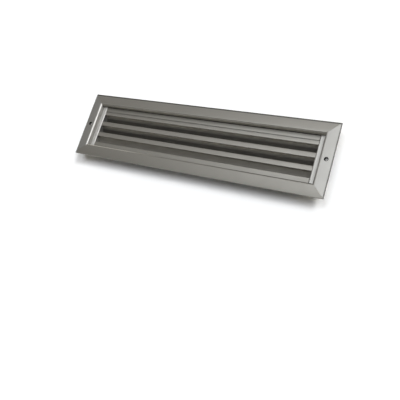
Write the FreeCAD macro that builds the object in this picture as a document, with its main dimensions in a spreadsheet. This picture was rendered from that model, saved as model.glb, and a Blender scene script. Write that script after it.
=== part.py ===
import FreeCAD, Part
import os
import re
import Sketcher

# Door ventilation grille: a mitred aluminium frame that covers the edge of a cut-out in a
# door, and a louvre core of three fixed blades riveted into the frame's collar.
#
# Frame of the part: X runs along the grille, Y points to its top edge and Z points out of
# the door. The origin is the middle of the plane in which the frame lies on the door.
# Distances called "inset" are measured inwards from the frame's outer edge.

doc = FreeCAD.newDocument("DoorGrille")
TINY = 1e-5

SIZES = [
    # the cut-out in the door and the frame that covers it
    ("opening_length", 500.0),
    ("opening_height", 100.0),
    ("opening_clearance", 1.0),
    ("flange_cover", 21.5),
    ("profile_wall", 1.4),
    ("rim_height", 4.0),
    ("face_rise", 2.2),
    ("rim_radius", 0.8),
    ("roll_radius", 4.0),
    ("collar_depth", 25.0),
    # the channel behind the face, and the brackets that lie in it
    ("channel_lip", 2.0),
    ("channel_lip_wall", 0.8),
    ("bracket_wall", 1.6),
    ("bracket_leg", 45.0),
    ("bracket_radius", 2.0),
    ("bracket_clearance", 0.1),
    ("bracket_side_clearance", 0.3),
    ("stake_diameter", 1.6),
    ("stake_depth", 0.3),
    ("stake_from_end", 8.0),
    # the countersunk screw hole in the middle of each end
    ("screw_hole_diameter", 4.4),
    ("screw_hole_inset", 11.5),
    ("countersink_diameter", 7.6),
    ("dimple_bottom", 0.3),
    # the core's sheet frame
    ("core_wall", 1.2),
    ("core_bend", 0.8),
    ("core_depth", 19.0),
    ("core_setback", 4.2),
    ("core_clearance", 0.3),
    ("rail_lip", 10.6),
    ("stile_gap", 0.4),
    ("stile_lip", 9.2),
    ("corner_tab_width", 7.0),
    ("corner_tab_length", 9.5),
    ("corner_rivet_inset", 5.5),
    # the blades and the slots that hold them
    ("blade_count", 3),
    ("blade_margin", 8.4),
    ("blade_wall", 1.2),
    ("blade_bend", 0.5),
    ("blade_strip", 10.2),
    ("blade_depth", 18.0),
    ("blade_slope", 60.0),
    ("blade_setback", 1.5),
    ("blade_clearance", 0.2),
    ("blade_tab_reach", 2.0),
    ("strip_tab_margin", 0.8),
    ("leg_tab_start", 22.0),
    ("leg_tab_width", 6.0),
    ("slot_clearance", 0.25),
    ("slot_relief", 5.5),
    ("slot_width", 3.0),
    # blind rivets
    ("rivet_diameter", 3.2),
    ("rivet_clearance", 0.1),
    ("rivet_head_diameter", 5.8),
    ("rivet_head_height", 1.2),
    ("rivet_head_radius", 0.9),
    ("rivet_bulb_diameter", 4.6),
    ("rivet_bulb_length", 3.4),
    ("rivet_bulb_radius", 0.8),
    ("rivet_pin_diameter", 1.8),
    ("rivet_pin_recess", 0.9),
    ("rivet_depth", 11.8),
    ("rivet_from_end", 82.0),
]

# What follows from the sizes above, as expressions.
DERIVED = {
    "outer_length": "opening_length + 2 * flange_cover",
    "outer_height": "opening_height + 2 * flange_cover",
    "collar_outside": "flange_cover + opening_clearance",
    "collar_inside": "collar_outside + profile_wall",
    "face_slope": "face_rise / collar_inside",
    # the screw hole and its countersink
    "hole_radius": "screw_hole_diameter / 2",
    "hole_face": "rim_height + face_slope * screw_hole_inset",
    "countersink_depth": "countersink_diameter / 2 - hole_radius",
    "dimple_top": "hole_face - profile_wall / 2",
    "dimple_flare": "(dimple_top - dimple_bottom) / 2",
    # the core
    "stile_face": "collar_inside + stile_gap + stile_lip",
    "rail_face": "collar_inside + core_clearance",
    "core_span": "outer_length - 2 * stile_face",
    "core_height": "outer_height - 2 * rail_face",
    # a blade: "fold" is the sharp corner that the bend at its top rounds off
    "blade_radius": "blade_bend + blade_wall",
    "fold_half_angle": "(45 - blade_slope / 2) * 1 deg",
    "fold_rise": "blade_radius / tan(fold_half_angle) - blade_radius",
    "leg_sine": "sin(blade_slope * 1 deg)",
    "leg_cosine": "cos(blade_slope * 1 deg)",
    "blade_height": "blade_depth * leg_sine / leg_cosine - fold_rise + blade_wall * leg_cosine",
    "blade_span": "core_span - 2 * blade_clearance",
    "blade_room": "core_height - 2 * blade_margin - blade_height",
    "blade_pitch": "blade_room / (blade_count - 1)",
    "first_blade_top": "core_height / 2 - blade_margin",
    # rivets
    "rivet_hole_radius": "(rivet_diameter + rivet_clearance) / 2",
    "rivet_level": "-core_setback - rivet_depth",
    "rivet_row": "outer_length / 2 - rivet_from_end",
    "corner_rivet_row": "core_height / 2 - corner_rivet_inset",
    "frame_grip": "profile_wall + core_clearance + core_wall",
    "corner_grip": "2 * core_wall",
}


def make_sheet():
    sheet = doc.addObject("Spreadsheet::Sheet", "Sizes")
    for row, (name, number) in enumerate(SIZES, 1):
        sheet.set("A%d" % row, name)
        sheet.set("B%d" % row, str(number))
        sheet.setAlias("B%d" % row, name)
    doc.recompute()
    return sheet


sheet = make_sheet()


def spell_out(text):
    """The expression with each derived name replaced and each size's name led by the sheet."""
    def replace(match):
        word = match.group(0)
        if word in DERIVED:
            return "(%s)" % spell_out(DERIVED[word])
        return "Sizes.%s" % word if sheet.getCellFromAlias(word) else word
    return re.sub(r"[a-z_]+", replace, text)


def measure(text):
    """The number that an expression gives."""
    return float(sheet.evalExpression(spell_out(text)))


def bind(thing, prop, text):
    thing.setExpression(prop, spell_out(text))


# Building blocks

def new_body(name):
    body = doc.addObject("PartDesign::Body", name)
    body.Label = name
    return body


def new_sketch(body, role, name, lift=None):
    """A sketch on one of the body's own planes, lifted off it by an expression."""
    sketch = body.newObject("Sketcher::SketchObject", name)
    plane = next(item for item in body.Origin.OriginFeatures if item.Role == role)
    sketch.AttachmentSupport = (plane, [""])
    sketch.MapMode = "FlatFace"
    if lift:
        bind(sketch, "AttachmentOffset.Base.z", lift)
    return sketch


def pin_point(sketch, geometry, position, x, y):
    """Hold one point of a sketch at the distances x and y from the sketch's origin."""
    for kind, text in (("DistanceX", x), ("DistanceY", y)):
        constraint = Sketcher.Constraint(kind, -1, 1, geometry, position, measure(text))
        number = sketch.addConstraint(constraint)
        bind(sketch, "Constraints[%d]" % number, text)


def add_outline(sketch, points):
    """A closed outline of straight lines through points given as pairs of expressions."""
    first = sketch.GeometryCount
    count = len(points)
    corners = [FreeCAD.Vector(measure(x), measure(y), 0) for x, y in points]
    for number, corner in enumerate(corners):
        sketch.addGeometry(Part.LineSegment(corner, corners[(number + 1) % count]), False)
    for number in range(count):
        following = first + (number + 1) % count
        sketch.addConstraint(Sketcher.Constraint("Coincident", first + number, 2, following, 1))
    for number, (x, y) in enumerate(points):
        pin_point(sketch, first + number, 1, x, y)


def add_rectangle(sketch, x_low, x_high, y_low, y_high):
    add_outline(sketch, [(x_low, y_low), (x_high, y_low), (x_high, y_high), (x_low, y_high)])


def add_circle(sketch, x, y, radius):
    centre = FreeCAD.Vector(measure(x), measure(y), 0)
    circle = Part.Circle(centre, FreeCAD.Vector(0, 0, 1), measure(radius))
    geometry = sketch.addGeometry(circle, False)
    pin_point(sketch, geometry, 3, x, y)
    number = sketch.addConstraint(Sketcher.Constraint("Radius", geometry, measure(radius)))
    bind(sketch, "Constraints[%d]" % number, radius)


def pad(body, sketch, length, symmetric=True, reverse=False):
    feature = body.newObject("PartDesign::Pad", sketch.Name + "Pad")
    feature.Profile = sketch
    feature.SideType = "Symmetric" if symmetric else "One side"
    feature.Reversed = reverse
    bind(feature, "Length", length)
    sketch.Visibility = False
    doc.recompute()
    return feature


def cut(body, sketch, depth=None, reverse=False):
    """A pocket right through the body, or to a depth. It has to take material away."""
    before = body.Shape.Volume
    feature = body.newObject("PartDesign::Pocket", sketch.Name + "Pocket")
    feature.Profile = sketch
    if depth:
        feature.Type = "Length"
        feature.Reversed = reverse
        bind(feature, "Length", depth)
    else:
        feature.Type = "ThroughAll"
        feature.SideType = "Symmetric"
    sketch.Visibility = False
    doc.recompute()
    if body.Shape.Volume > before - TINY:
        raise ValueError("%s cuts nothing" % feature.Name)
    return feature


def turn(body, sketch, kind):
    """Turn the sketch about its own vertical axis, to add (Revolution) or cut (Groove)."""
    feature = body.newObject("PartDesign::" + kind, sketch.Name + kind)
    feature.Profile = sketch
    feature.ReferenceAxis = (sketch, ["V_Axis"])
    feature.Angle = 360
    sketch.Visibility = False
    doc.recompute()
    return feature


def round_edges(body, name, radius, wanted):
    """Round every edge of the body whose end points all pass the test."""
    base = body.Tip
    edges = []
    for number, edge in enumerate(base.Shape.Edges, 1):
        if all(wanted(vertex.Point) for vertex in edge.Vertexes):
            edges.append("Edge%d" % number)
    feature = body.newObject("PartDesign::Fillet", name)
    feature.Base = (base, edges)
    bind(feature, "Radius", radius)
    doc.recompute()
    return feature


def along_x(y, z):
    """A test for the edge along X through y and z."""
    y_value, z_value = measure(y), measure(z)
    return lambda point: abs(point.y - y_value) < TINY and abs(point.z - z_value) < TINY


def along_y(x, z):
    """A test for the edge along Y through x and z."""
    x_value, z_value = measure(x), measure(z)
    return lambda point: abs(point.x - x_value) < TINY and abs(point.z - z_value) < TINY


def place(body, x="0", y="0", z="0", angle=0, axis=(0, 0, 1)):
    body.Placement.Rotation = FreeCAD.Rotation(FreeCAD.Vector(*axis), angle)
    for letter, text in (("x", x), ("y", y), ("z", z)):
        bind(body, "Placement.Base." + letter, text)


# Frame: four lengths of one extruded section, mitred at the corners

def frame_section(sketch):
    """The section: rim, face and collar, with a lip on each side of the bracket channel."""
    face_back = "rim_height + face_slope * %s - profile_wall"
    add_outline(sketch, [
        ("0", "0"),
        ("0", "rim_height"),
        ("-collar_inside", "rim_height + face_rise"),
        ("-collar_inside", "-collar_depth"),
        ("-collar_outside", "-collar_depth"),
        ("-collar_outside", "0"),
        ("-collar_outside + channel_lip", "0"),
        ("-collar_outside + channel_lip", "channel_lip_wall"),
        ("-collar_outside", "channel_lip_wall"),
        ("-collar_outside", face_back % "collar_outside"),
        ("-profile_wall", face_back % "profile_wall"),
        ("-profile_wall", "channel_lip_wall"),
        ("-profile_wall - channel_lip", "channel_lip_wall"),
        ("-profile_wall - channel_lip", "0"),
    ])


def round_section(body, name):
    """The rolled inner edge, inside and out, and the slightly rounded rim."""
    roll = along_x("-collar_inside", "rim_height + face_rise")
    round_edges(body, name + "_roll", "roll_radius", roll)
    back = along_x("-collar_outside", "rim_height + face_slope * collar_outside - profile_wall")
    round_edges(body, name + "_roll_back", "roll_radius - profile_wall", back)
    round_edges(body, name + "_rim", "rim_radius", along_x("0", "rim_height"))


def mitre_ends(body, name, length):
    """Cut both ends at 45 degrees, from the outer corner inwards."""
    over = "1"
    sketch = new_sketch(body, "XY_Plane", name + "_mitres")
    for sign in ("", "-"):
        end = "%s(%s / 2 + %s)" % (sign, length, over)
        inner = "%s(%s / 2 - collar_inside - %s)" % (sign, length, over)
        low = "-collar_inside - %s" % over
        add_outline(sketch, [(end, over), (inner, low), (end, low)])
    cut(body, sketch)


def stake_lips(body, name, length):
    """Punch marks that press the channel's lips on to the brackets."""
    sketch = new_sketch(body, "XY_Plane", name + "_stakes")
    for sign in ("", "-"):
        along = "%s(%s / 2 - bracket_leg + stake_from_end)" % (sign, length)
        for across in ("-profile_wall - channel_lip / 2", "-collar_outside + channel_lip / 2"):
            add_circle(sketch, along, across, "stake_diameter / 2")
    cut(body, sketch, depth="stake_depth", reverse=True)


def screw_hole(body, name):
    """A countersunk hole whose sheet is drawn down into a deep dimple, close to the door."""
    dimple_edge = "hole_radius + profile_wall"
    dimple = new_sketch(body, "YZ_Plane", name + "_dimple")
    bind(dimple, "AttachmentOffset.Base.x", "-screw_hole_inset")
    add_outline(dimple, [
        ("0", "dimple_bottom"),
        (dimple_edge, "dimple_bottom"),
        (dimple_edge + " + dimple_flare", "dimple_top"),
        ("0", "dimple_top"),
    ])
    turn(body, dimple, "Revolution")
    over = "1"
    hole = new_sketch(body, "YZ_Plane", name + "_screw_hole")
    bind(hole, "AttachmentOffset.Base.x", "-screw_hole_inset")
    add_outline(hole, [
        ("0", "dimple_bottom - " + over),
        ("hole_radius", "dimple_bottom - " + over),
        ("hole_radius", "hole_face - countersink_depth"),
        ("countersink_diameter / 2 + " + over, "hole_face + " + over),
        ("0", "hole_face + " + over),
    ])
    turn(body, hole, "Groove")


def frame_rivet_places():
    """Where the rivets through the collar sit along X, with a word for each place."""
    return (("left", "-(rivet_row)"), ("middle", "0"), ("right", "rivet_row"))


def rivet_holes_along(body, name, level):
    """Holes along Y for the rivets that join the collar and the core's rail."""
    sketch = new_sketch(body, "XZ_Plane", name + "_rivet_holes")
    for _, along in frame_rivet_places():
        add_circle(sketch, along, level, "rivet_hole_radius")
    cut(body, sketch)


def frame_member(side, length, angle, x="0", y="0"):
    name = "frame_" + side
    body = new_body(name)
    section = new_sketch(body, "YZ_Plane", name + "_section")
    frame_section(section)
    pad(body, section, length)
    round_section(body, name)
    mitre_ends(body, name, length)
    stake_lips(body, name, length)
    if side in ("left", "right"):
        screw_hole(body, name)
    else:
        rivet_holes_along(body, name, "rivet_level")
    place(body, x=x, y=y, angle=angle)
    return body


def corner_bracket(side, angle, x, y):
    """An L of steel plate that lies in the channel across a mitre."""
    name = "corner_bracket_" + side
    body = new_body(name)
    outer = "-profile_wall - bracket_side_clearance"
    inner = "-collar_outside + bracket_side_clearance"
    plate = new_sketch(body, "XY_Plane", name + "_plate")
    add_outline(plate, [
        (outer, outer),
        ("-bracket_leg", outer),
        ("-bracket_leg", inner),
        (inner, inner),
        (inner, "-bracket_leg"),
        (outer, "-bracket_leg"),
    ])
    pad(body, plate, "bracket_wall", symmetric=False)
    corner = measure(outer)
    round_edges(
        body, name + "_corner", "bracket_radius",
        lambda point: abs(point.x - corner) < TINY and abs(point.y - corner) < TINY,
    )
    place(body, x=x, y=y, z="channel_lip_wall + bracket_clearance", angle=angle)
    return body


# Core: two rails and two stiles of folded sheet

def round_fold(body, name, outside, inside):
    """The outside and the inside of a fold in the core's sheet."""
    round_edges(body, name + "_fold_outside", "core_bend + core_wall", outside)
    round_edges(body, name + "_fold_inside", "core_bend", inside)


def core_rail(side, angle, y):
    """An angle along the collar, with a lip in front and a riveting tab at each end."""
    name = "core_rail_" + side
    body = new_body(name)
    section = new_sketch(body, "YZ_Plane", name + "_section")
    add_outline(section, [
        ("0", "0"),
        ("-rail_lip", "0"),
        ("-rail_lip", "-core_wall"),
        ("-core_wall", "-core_wall"),
        ("-core_wall", "-core_depth"),
        ("0", "-core_depth"),
    ])
    pad(body, section, "core_span")
    round_fold(body, name, along_x("0", "0"), along_x("-core_wall", "-core_wall"))

    tabs = new_sketch(body, "XY_Plane", name + "_tabs", lift="corner_tab_width / 2 - rivet_depth")
    for sign in ("", "-"):
        end = sign + "core_span / 2"
        fold = "%s(core_span / 2 - core_wall)" % sign
        add_rectangle(tabs, end, fold, "0", "-corner_tab_length")
    pad(body, tabs, "corner_tab_width", symmetric=False, reverse=True)

    tab_holes = new_sketch(body, "YZ_Plane", name + "_tab_holes")
    add_circle(tab_holes, "-corner_rivet_inset", "-rivet_depth", "rivet_hole_radius")
    cut(body, tab_holes)
    rivet_holes_along(body, name, "-rivet_depth")
    place(body, y=y, z="-core_setback", angle=angle)
    return body


def blade_top(number):
    """Height of one blade's top above the middle of the grille."""
    return "(first_blade_top - %d * blade_pitch)" % number


def leg_point(along, through):
    """A point of a blade's leg: along it from the fold, and through its sheet."""
    across = "fold_rise - (%s) * leg_sine - (%s) * leg_cosine" % (along, through)
    back = "(%s) * leg_sine - (%s) * leg_cosine" % (through, along)
    return across, back


def slot_shapes(sketch, top):
    """The two slots for one blade's tabs: a long one for the strip and one for the leg."""
    add_rectangle(
        sketch,
        top + " - blade_radius - strip_tab_margin + slot_clearance",
        top + " - blade_strip - slot_relief",
        "slot_clearance - blade_setback",
        "slot_clearance - blade_setback - slot_width",
    )
    slot_corners = []
    ends = ("leg_tab_start - slot_clearance", "leg_tab_start + leg_tab_width + slot_clearance")
    sides = ("-slot_clearance", "blade_wall + slot_clearance")
    for along, through in ((0, 0), (1, 0), (1, 1), (0, 1)):
        across, back = leg_point(ends[along], sides[through])
        slot_corners.append(("%s + %s" % (top, across), "%s - blade_setback" % back))
    add_outline(sketch, slot_corners)


def core_stile(side, sign, x):
    """An angle whose web stands at the blades' ends and whose lip points outwards."""
    name = "core_stile_" + side
    body = new_body(name)
    section = new_sketch(body, "XZ_Plane", name + "_section")
    add_outline(section, [
        ("0", "0"),
        (sign + "stile_lip", "0"),
        (sign + "stile_lip", "-core_wall"),
        (sign + "core_wall", "-core_wall"),
        (sign + "core_wall", "-core_depth"),
        ("0", "-core_depth"),
    ])
    pad(body, section, "core_height")
    round_fold(body, name, along_y("0", "0"), along_y(sign + "core_wall", "-core_wall"))

    openings = new_sketch(body, "YZ_Plane", name + "_openings")
    for number in range(int(measure("blade_count"))):
        slot_shapes(openings, blade_top(number))
    for row in ("corner_rivet_row", "-(corner_rivet_row)"):
        add_circle(openings, row, "-rivet_depth", "rivet_hole_radius")
    cut(body, openings)
    place(body, x=x, z="-core_setback")
    return body


# Blades

def blade(number):
    """A strip that faces the room, folded over into a leg that slopes back and down."""
    name = "blade_%d" % (number + 1)
    body = new_body(name)
    leg_length = "blade_depth / leg_cosine"
    section = new_sketch(body, "YZ_Plane", name + "_section")
    fold_inside = "fold_rise - blade_wall * (1 + leg_sine) / leg_cosine"
    add_outline(section, [
        ("fold_rise", "0"),
        ("-blade_strip", "0"),
        ("-blade_strip", "-blade_wall"),
        (fold_inside, "-blade_wall"),
        leg_point(leg_length, "blade_wall"),
        leg_point(leg_length, "0"),
    ])
    pad(body, section, "blade_span")
    round_edges(body, name + "_fold_outside", "blade_radius", along_x("fold_rise", "0"))
    inside = along_x(fold_inside, "-blade_wall")
    round_edges(body, name + "_fold_inside", "blade_bend", inside)

    tabs = new_sketch(body, "YZ_Plane", name + "_tabs")
    add_rectangle(
        tabs,
        "-blade_radius - strip_tab_margin",
        "-blade_strip + strip_tab_margin",
        "0",
        "-blade_wall",
    )
    leg_end = "leg_tab_start + leg_tab_width"
    add_outline(tabs, [
        leg_point("leg_tab_start", "0"),
        leg_point(leg_end, "0"),
        leg_point(leg_end, "blade_wall"),
        leg_point("leg_tab_start", "blade_wall"),
    ])
    pad(body, tabs, "core_span + 2 * (core_wall + blade_tab_reach)")
    place(body, y=blade_top(number), z="-core_setback - blade_setback")
    return body


# Rivets

def rivet(name, grip, x, y, axis, angle):
    """A set blind rivet: head at its origin, shank through the sheets, bulb behind them."""
    body = new_body(name)
    bulb_end = "-%s - rivet_bulb_length" % grip
    profile = new_sketch(body, "XZ_Plane", name + "_profile")
    add_outline(profile, [
        ("0", "rivet_head_height - rivet_pin_recess"),
        ("rivet_pin_diameter / 2", "rivet_head_height - rivet_pin_recess"),
        ("rivet_pin_diameter / 2", "rivet_head_height"),
        ("rivet_head_diameter / 2", "rivet_head_height"),
        ("rivet_head_diameter / 2", "0"),
        ("rivet_diameter / 2", "0"),
        ("rivet_diameter / 2", "-" + grip),
        ("rivet_bulb_diameter / 2", "-" + grip),
        ("rivet_bulb_diameter / 2", bulb_end),
        ("0", bulb_end),
    ])
    turn(body, profile, "Revolution")

    def ring(radius, level):
        radius_value, level_value = measure(radius), measure(level)
        return lambda point: (
            abs(point.z - level_value) < TINY
            and abs(abs(point.x) - radius_value) < TINY
        )

    head = ring("rivet_head_diameter / 2", "rivet_head_height")
    round_edges(body, name + "_head", "rivet_head_radius", head)
    bulb = ring("rivet_bulb_diameter / 2", bulb_end)
    round_edges(body, name + "_bulb", "rivet_bulb_radius", bulb)
    place(body, x=x, y=y, z="rivet_level", axis=axis, angle=angle)
    return body


def build_frame():
    half_length = "outer_length / 2"
    half_height = "outer_height / 2"
    frame_member("top", "outer_length", 0, y=half_height)
    frame_member("left", "outer_height", 90, x="-" + half_length)
    frame_member("bottom", "outer_length", 180, y="-" + half_height)
    frame_member("right", "outer_height", 270, x=half_length)
    corner_bracket("top_right", 0, half_length, half_height)
    corner_bracket("top_left", 90, "-" + half_length, half_height)
    corner_bracket("bottom_left", 180, "-" + half_length, "-" + half_height)
    corner_bracket("bottom_right", 270, half_length, "-" + half_height)


def build_core():
    core_rail("top", 0, "core_height / 2")
    core_rail("bottom", 180, "-core_height / 2")
    core_stile("left", "-", "-core_span / 2")
    core_stile("right", "", "core_span / 2")
    for number in range(int(measure("blade_count"))):
        blade(number)


def build_rivets():
    collar = "outer_height / 2 - collar_outside"
    for word, along in frame_rivet_places():
        rivet("frame_rivet_top_" + word, "frame_grip", along, collar, (1, 0, 0), -90)
        rivet("frame_rivet_bottom_" + word, "frame_grip", along, "-(%s)" % collar, (1, 0, 0), 90)
    web = "core_span / 2 + core_wall"
    for height, row in (("top", "corner_rivet_row"), ("bottom", "-(corner_rivet_row)")):
        rivet("core_rivet_%s_right" % height, "corner_grip", web, row, (0, 1, 0), 90)
        rivet("core_rivet_%s_left" % height, "corner_grip", "-(%s)" % web, row, (0, 1, 0), -90)


def check_document():
    """Every object recomputed, and every body holds one valid solid."""
    for thing in doc.Objects:
        if "Invalid" in thing.State or "Error" in thing.State:
            raise ValueError("%s did not recompute" % thing.Name)
    for body in doc.findObjects("PartDesign::Body"):
        if body.Shape.isNull() or not body.Shape.isValid() or len(body.Shape.Solids) != 1:
            raise ValueError("%s is not one valid solid" % body.Label)


def export_parts():
    os.makedirs("parts", exist_ok=True)
    for body in doc.findObjects("PartDesign::Body"):
        body.Shape.exportStep("parts/%s.step" % body.Label)
        print("%-30s %10.1f mm3" % (body.Label, body.Shape.Volume))


build_frame()
build_core()
build_rivets()
doc.recompute()
check_document()
export_parts()
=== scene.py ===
# %% [markdown]
# # Door ventilation grille
#
# This lesson dresses a louvre grille for a door: four lengths of one aluminium profile, mitred
# and pressed together at the corners, round a riveted core that holds three folded blades.
# The solids come from the CAD model. Here they get the finish of satin anodised aluminium,
# and the pieces whose shape follows a rule are drawn again with rounded sheet edges.

# %% Load the frame
import math
import bpy
from mathutils import Matrix, Vector


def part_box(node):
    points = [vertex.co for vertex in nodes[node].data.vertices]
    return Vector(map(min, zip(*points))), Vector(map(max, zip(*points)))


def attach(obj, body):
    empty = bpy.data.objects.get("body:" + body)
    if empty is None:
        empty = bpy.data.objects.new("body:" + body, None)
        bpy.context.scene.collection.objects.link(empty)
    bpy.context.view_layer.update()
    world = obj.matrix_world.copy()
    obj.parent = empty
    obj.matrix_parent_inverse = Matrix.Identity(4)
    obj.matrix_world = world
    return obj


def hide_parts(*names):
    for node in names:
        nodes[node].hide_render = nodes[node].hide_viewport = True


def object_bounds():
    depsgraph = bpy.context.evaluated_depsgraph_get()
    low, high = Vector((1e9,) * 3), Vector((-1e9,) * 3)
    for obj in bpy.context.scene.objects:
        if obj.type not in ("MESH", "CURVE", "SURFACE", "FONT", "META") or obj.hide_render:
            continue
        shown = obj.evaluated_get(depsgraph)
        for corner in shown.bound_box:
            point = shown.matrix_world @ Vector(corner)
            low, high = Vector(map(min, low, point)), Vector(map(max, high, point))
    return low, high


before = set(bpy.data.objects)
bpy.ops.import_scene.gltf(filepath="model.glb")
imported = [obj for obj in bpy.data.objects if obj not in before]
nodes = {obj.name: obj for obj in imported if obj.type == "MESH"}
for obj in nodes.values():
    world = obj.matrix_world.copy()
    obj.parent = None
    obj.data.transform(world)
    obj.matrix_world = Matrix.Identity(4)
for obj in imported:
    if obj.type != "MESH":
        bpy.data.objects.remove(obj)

cad_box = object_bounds()
# The part's sizes are written in millimetres, and this turns them into metres.
MM = 0.001
print("CAD nodes:", len(nodes))
print("CAD box in mm:", [[round(value / MM, 1) for value in corner] for corner in cad_box])

# %% [markdown]
# ## Camera
#
# The photograph looks down on the grille from its lower right. Eight corners of the frame and
# the two screw holes give the camera: a place, three axes and a focal length in pixels. A
# Blender camera measures its lens in millimetres on a 36 mm wide sensor, so the focal length
# in pixels is turned into millimetres with the width of the image.

# %% Camera
IMAGE_WIDTH = 400
FOCAL_PIXELS = 462.2
SENSOR_WIDTH = 36.0

camera_right = Vector((0.88702, 0.29416, -0.35591))
camera_up = Vector((-0.18914, 0.93465, 0.30110))
camera_back = Vector((0.42122, -0.19976, 0.88469))
camera_place = Vector((416.94, -291.24, 771.49)) * MM

camera_data = bpy.data.cameras.new("photo_camera")
camera_data.sensor_width = SENSOR_WIDTH
camera_data.lens = SENSOR_WIDTH * FOCAL_PIXELS / IMAGE_WIDTH
camera = bpy.data.objects.new("photo_camera", camera_data)
bpy.context.scene.collection.objects.link(camera)
camera_axes = Matrix((camera_right, camera_up, camera_back)).transposed()
camera.matrix_world = Matrix.Translation(camera_place) @ camera_axes.to_4x4()
bpy.context.scene.camera = camera
print("camera lens in mm:", round(camera_data.lens, 1))

# %% [markdown]
# ## Floor
#
# The grille lies on its collar, so the table is level with the collar's back edges. The frame
# then overhangs the table by the collar's depth, which gives the soft dark band below it.

# %% Floor
# Half the floor's width, in metres.
FLOOR_HALF = 30.0

def make_object(name, mesh):
    thing = bpy.data.objects.new(name, mesh)
    bpy.context.scene.collection.objects.link(thing)
    return thing

floor_level = cad_box[0][2]
floor_corners = [
    (x * FLOOR_HALF, y * FLOOR_HALF, floor_level)
    for x, y in ((-1, -1), (1, -1), (1, 1), (-1, 1))
]
floor_mesh = bpy.data.meshes.new("floor")
floor_mesh.from_pydata(floor_corners, [], [(0, 1, 2, 3)])
floor = make_object("floor", floor_mesh)
print("floor level in mm:", round(floor_level / MM, 1))

# %% [markdown]
# ## Node helpers
#
# Both geometry and materials are node trees, and both are built from Python in the same way:
# a node is made, its settings are written, and its inputs get either a plain value or a link.
# A few small helpers keep the trees below readable. Ramps are the most used of them: they turn
# a measure into a mask from 0 to 1.

# %% Node helpers
def add_node(tree, kind, settings=None, inputs=None):
    """A new node. Settings are its properties, and inputs are values or sockets to link."""
    node = tree.nodes.new(kind)
    for name, value in (settings or {}).items():
        setattr(node, name, value)
    for name, value in (inputs or {}).items():
        if isinstance(value, bpy.types.NodeSocket):
            tree.links.new(value, node.inputs[name])
        else:
            node.inputs[name].default_value = value
    return node

def add_math(tree, operation, *values):
    """A Math node, and the socket that holds its result."""
    inputs = dict(enumerate(values))
    return add_node(tree, "ShaderNodeMath", {"operation": operation}, inputs).outputs[0]

def times(tree, product, *factors):
    """The product of values or sockets."""
    for factor in factors:
        product = add_math(tree, "MULTIPLY", product, factor)
    return product

def vector_of(tree, x=0.0, y=0.0, z=0.0):
    """A vector from three values or sockets."""
    return add_node(tree, "ShaderNodeCombineXYZ", None, {"X": x, "Y": y, "Z": z}).outputs[0]

def parts_of(tree, vector):
    """The sockets X, Y and Z of a vector."""
    return add_node(tree, "ShaderNodeSeparateXYZ", None, {"Vector": vector}).outputs

def ramp(tree, value, start, end):
    """0 at the start and before it, 1 at the end and beyond."""
    return add_node(tree, "ShaderNodeMapRange", None, {
        "Value": value, "From Min": start, "From Max": end}).outputs[0]

def spread(tree, value, low, high):
    """The value from 0 to 1 mapped to a range."""
    return add_node(tree, "ShaderNodeMapRange", None, {
        "Value": value, "To Min": low, "To Max": high}).outputs[0]

def add_sockets(tree, direction, sockets):
    """Named sockets on a tree's interface, from pairs of a name and a kind."""
    for name, kind in sockets:
        tree.interface.new_socket(name, in_out=direction, socket_type="NodeSocket" + kind)

# %% [markdown]
# ## Section of the frame
#
# The frame is an aluminium extrusion, so one outline describes all four sides. It is drawn
# as a ring of points: the distance in from the outer edge, the height above the door, and the
# radius that rounds the corner there. A swept outline keeps every edge of the die, such as
# the rolled inner edge and the two lips that hold the corner brackets.

# %% Section of the frame
RIM_HEIGHT, FACE_RISE, WALL = 4.0, 2.2, 1.4
COLLAR_OUTSIDE, COLLAR_INSIDE, COLLAR_DEPTH = 22.5, 23.9, 25.0
LIP, LIP_WALL = 2.0, 0.8
EDGE, RIM_RADIUS, ROLL_RADIUS = 0.15, 0.35, 4.0

def face_height(inset):
    return RIM_HEIGHT + FACE_RISE * inset / COLLAR_INSIDE

frame_outline = [
    (0.0, 0.0, EDGE),
    (0.0, RIM_HEIGHT, RIM_RADIUS),
    (COLLAR_INSIDE, face_height(COLLAR_INSIDE), ROLL_RADIUS),
    (COLLAR_INSIDE, -COLLAR_DEPTH, EDGE),
    (COLLAR_OUTSIDE, -COLLAR_DEPTH, EDGE),
    (COLLAR_OUTSIDE, 0.0, 0.0),
    (COLLAR_OUTSIDE - LIP, 0.0, EDGE),
    (COLLAR_OUTSIDE - LIP, LIP_WALL, EDGE),
    (COLLAR_OUTSIDE, LIP_WALL, 0.0),
    (COLLAR_OUTSIDE, face_height(COLLAR_OUTSIDE) - WALL, ROLL_RADIUS - WALL),
    (WALL, face_height(WALL) - WALL, 0.0),
    (WALL, LIP_WALL, 0.0),
    (WALL + LIP, LIP_WALL, EDGE),
    (WALL + LIP, 0.0, EDGE),
]
print("corners in the frame's section:", len(frame_outline))

# %% [markdown]
# ## A tree that sweeps a section
#
# An extrusion is a section pulled along a line, so a Geometry Nodes tree is a better fit than
# box modelling: Mesh to Curve and Fillet Curve round the outline, and Curve to Mesh pulls it
# along. The mitre is one rule: each end moves inwards by as much as its point lies in from
# the outer edge, plus half a hairline gap.

# %% A tree that sweeps a section
SHARP_ANGLE = math.radians(35)

def new_geometry_tree(name, inputs):
    tree = bpy.data.node_groups.new(name, "GeometryNodeTree")
    add_sockets(tree, "INPUT", inputs)
    add_sockets(tree, "OUTPUT", [("Geometry", "Geometry")])
    given = add_node(tree, "NodeGroupInput").outputs
    return tree, given

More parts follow.
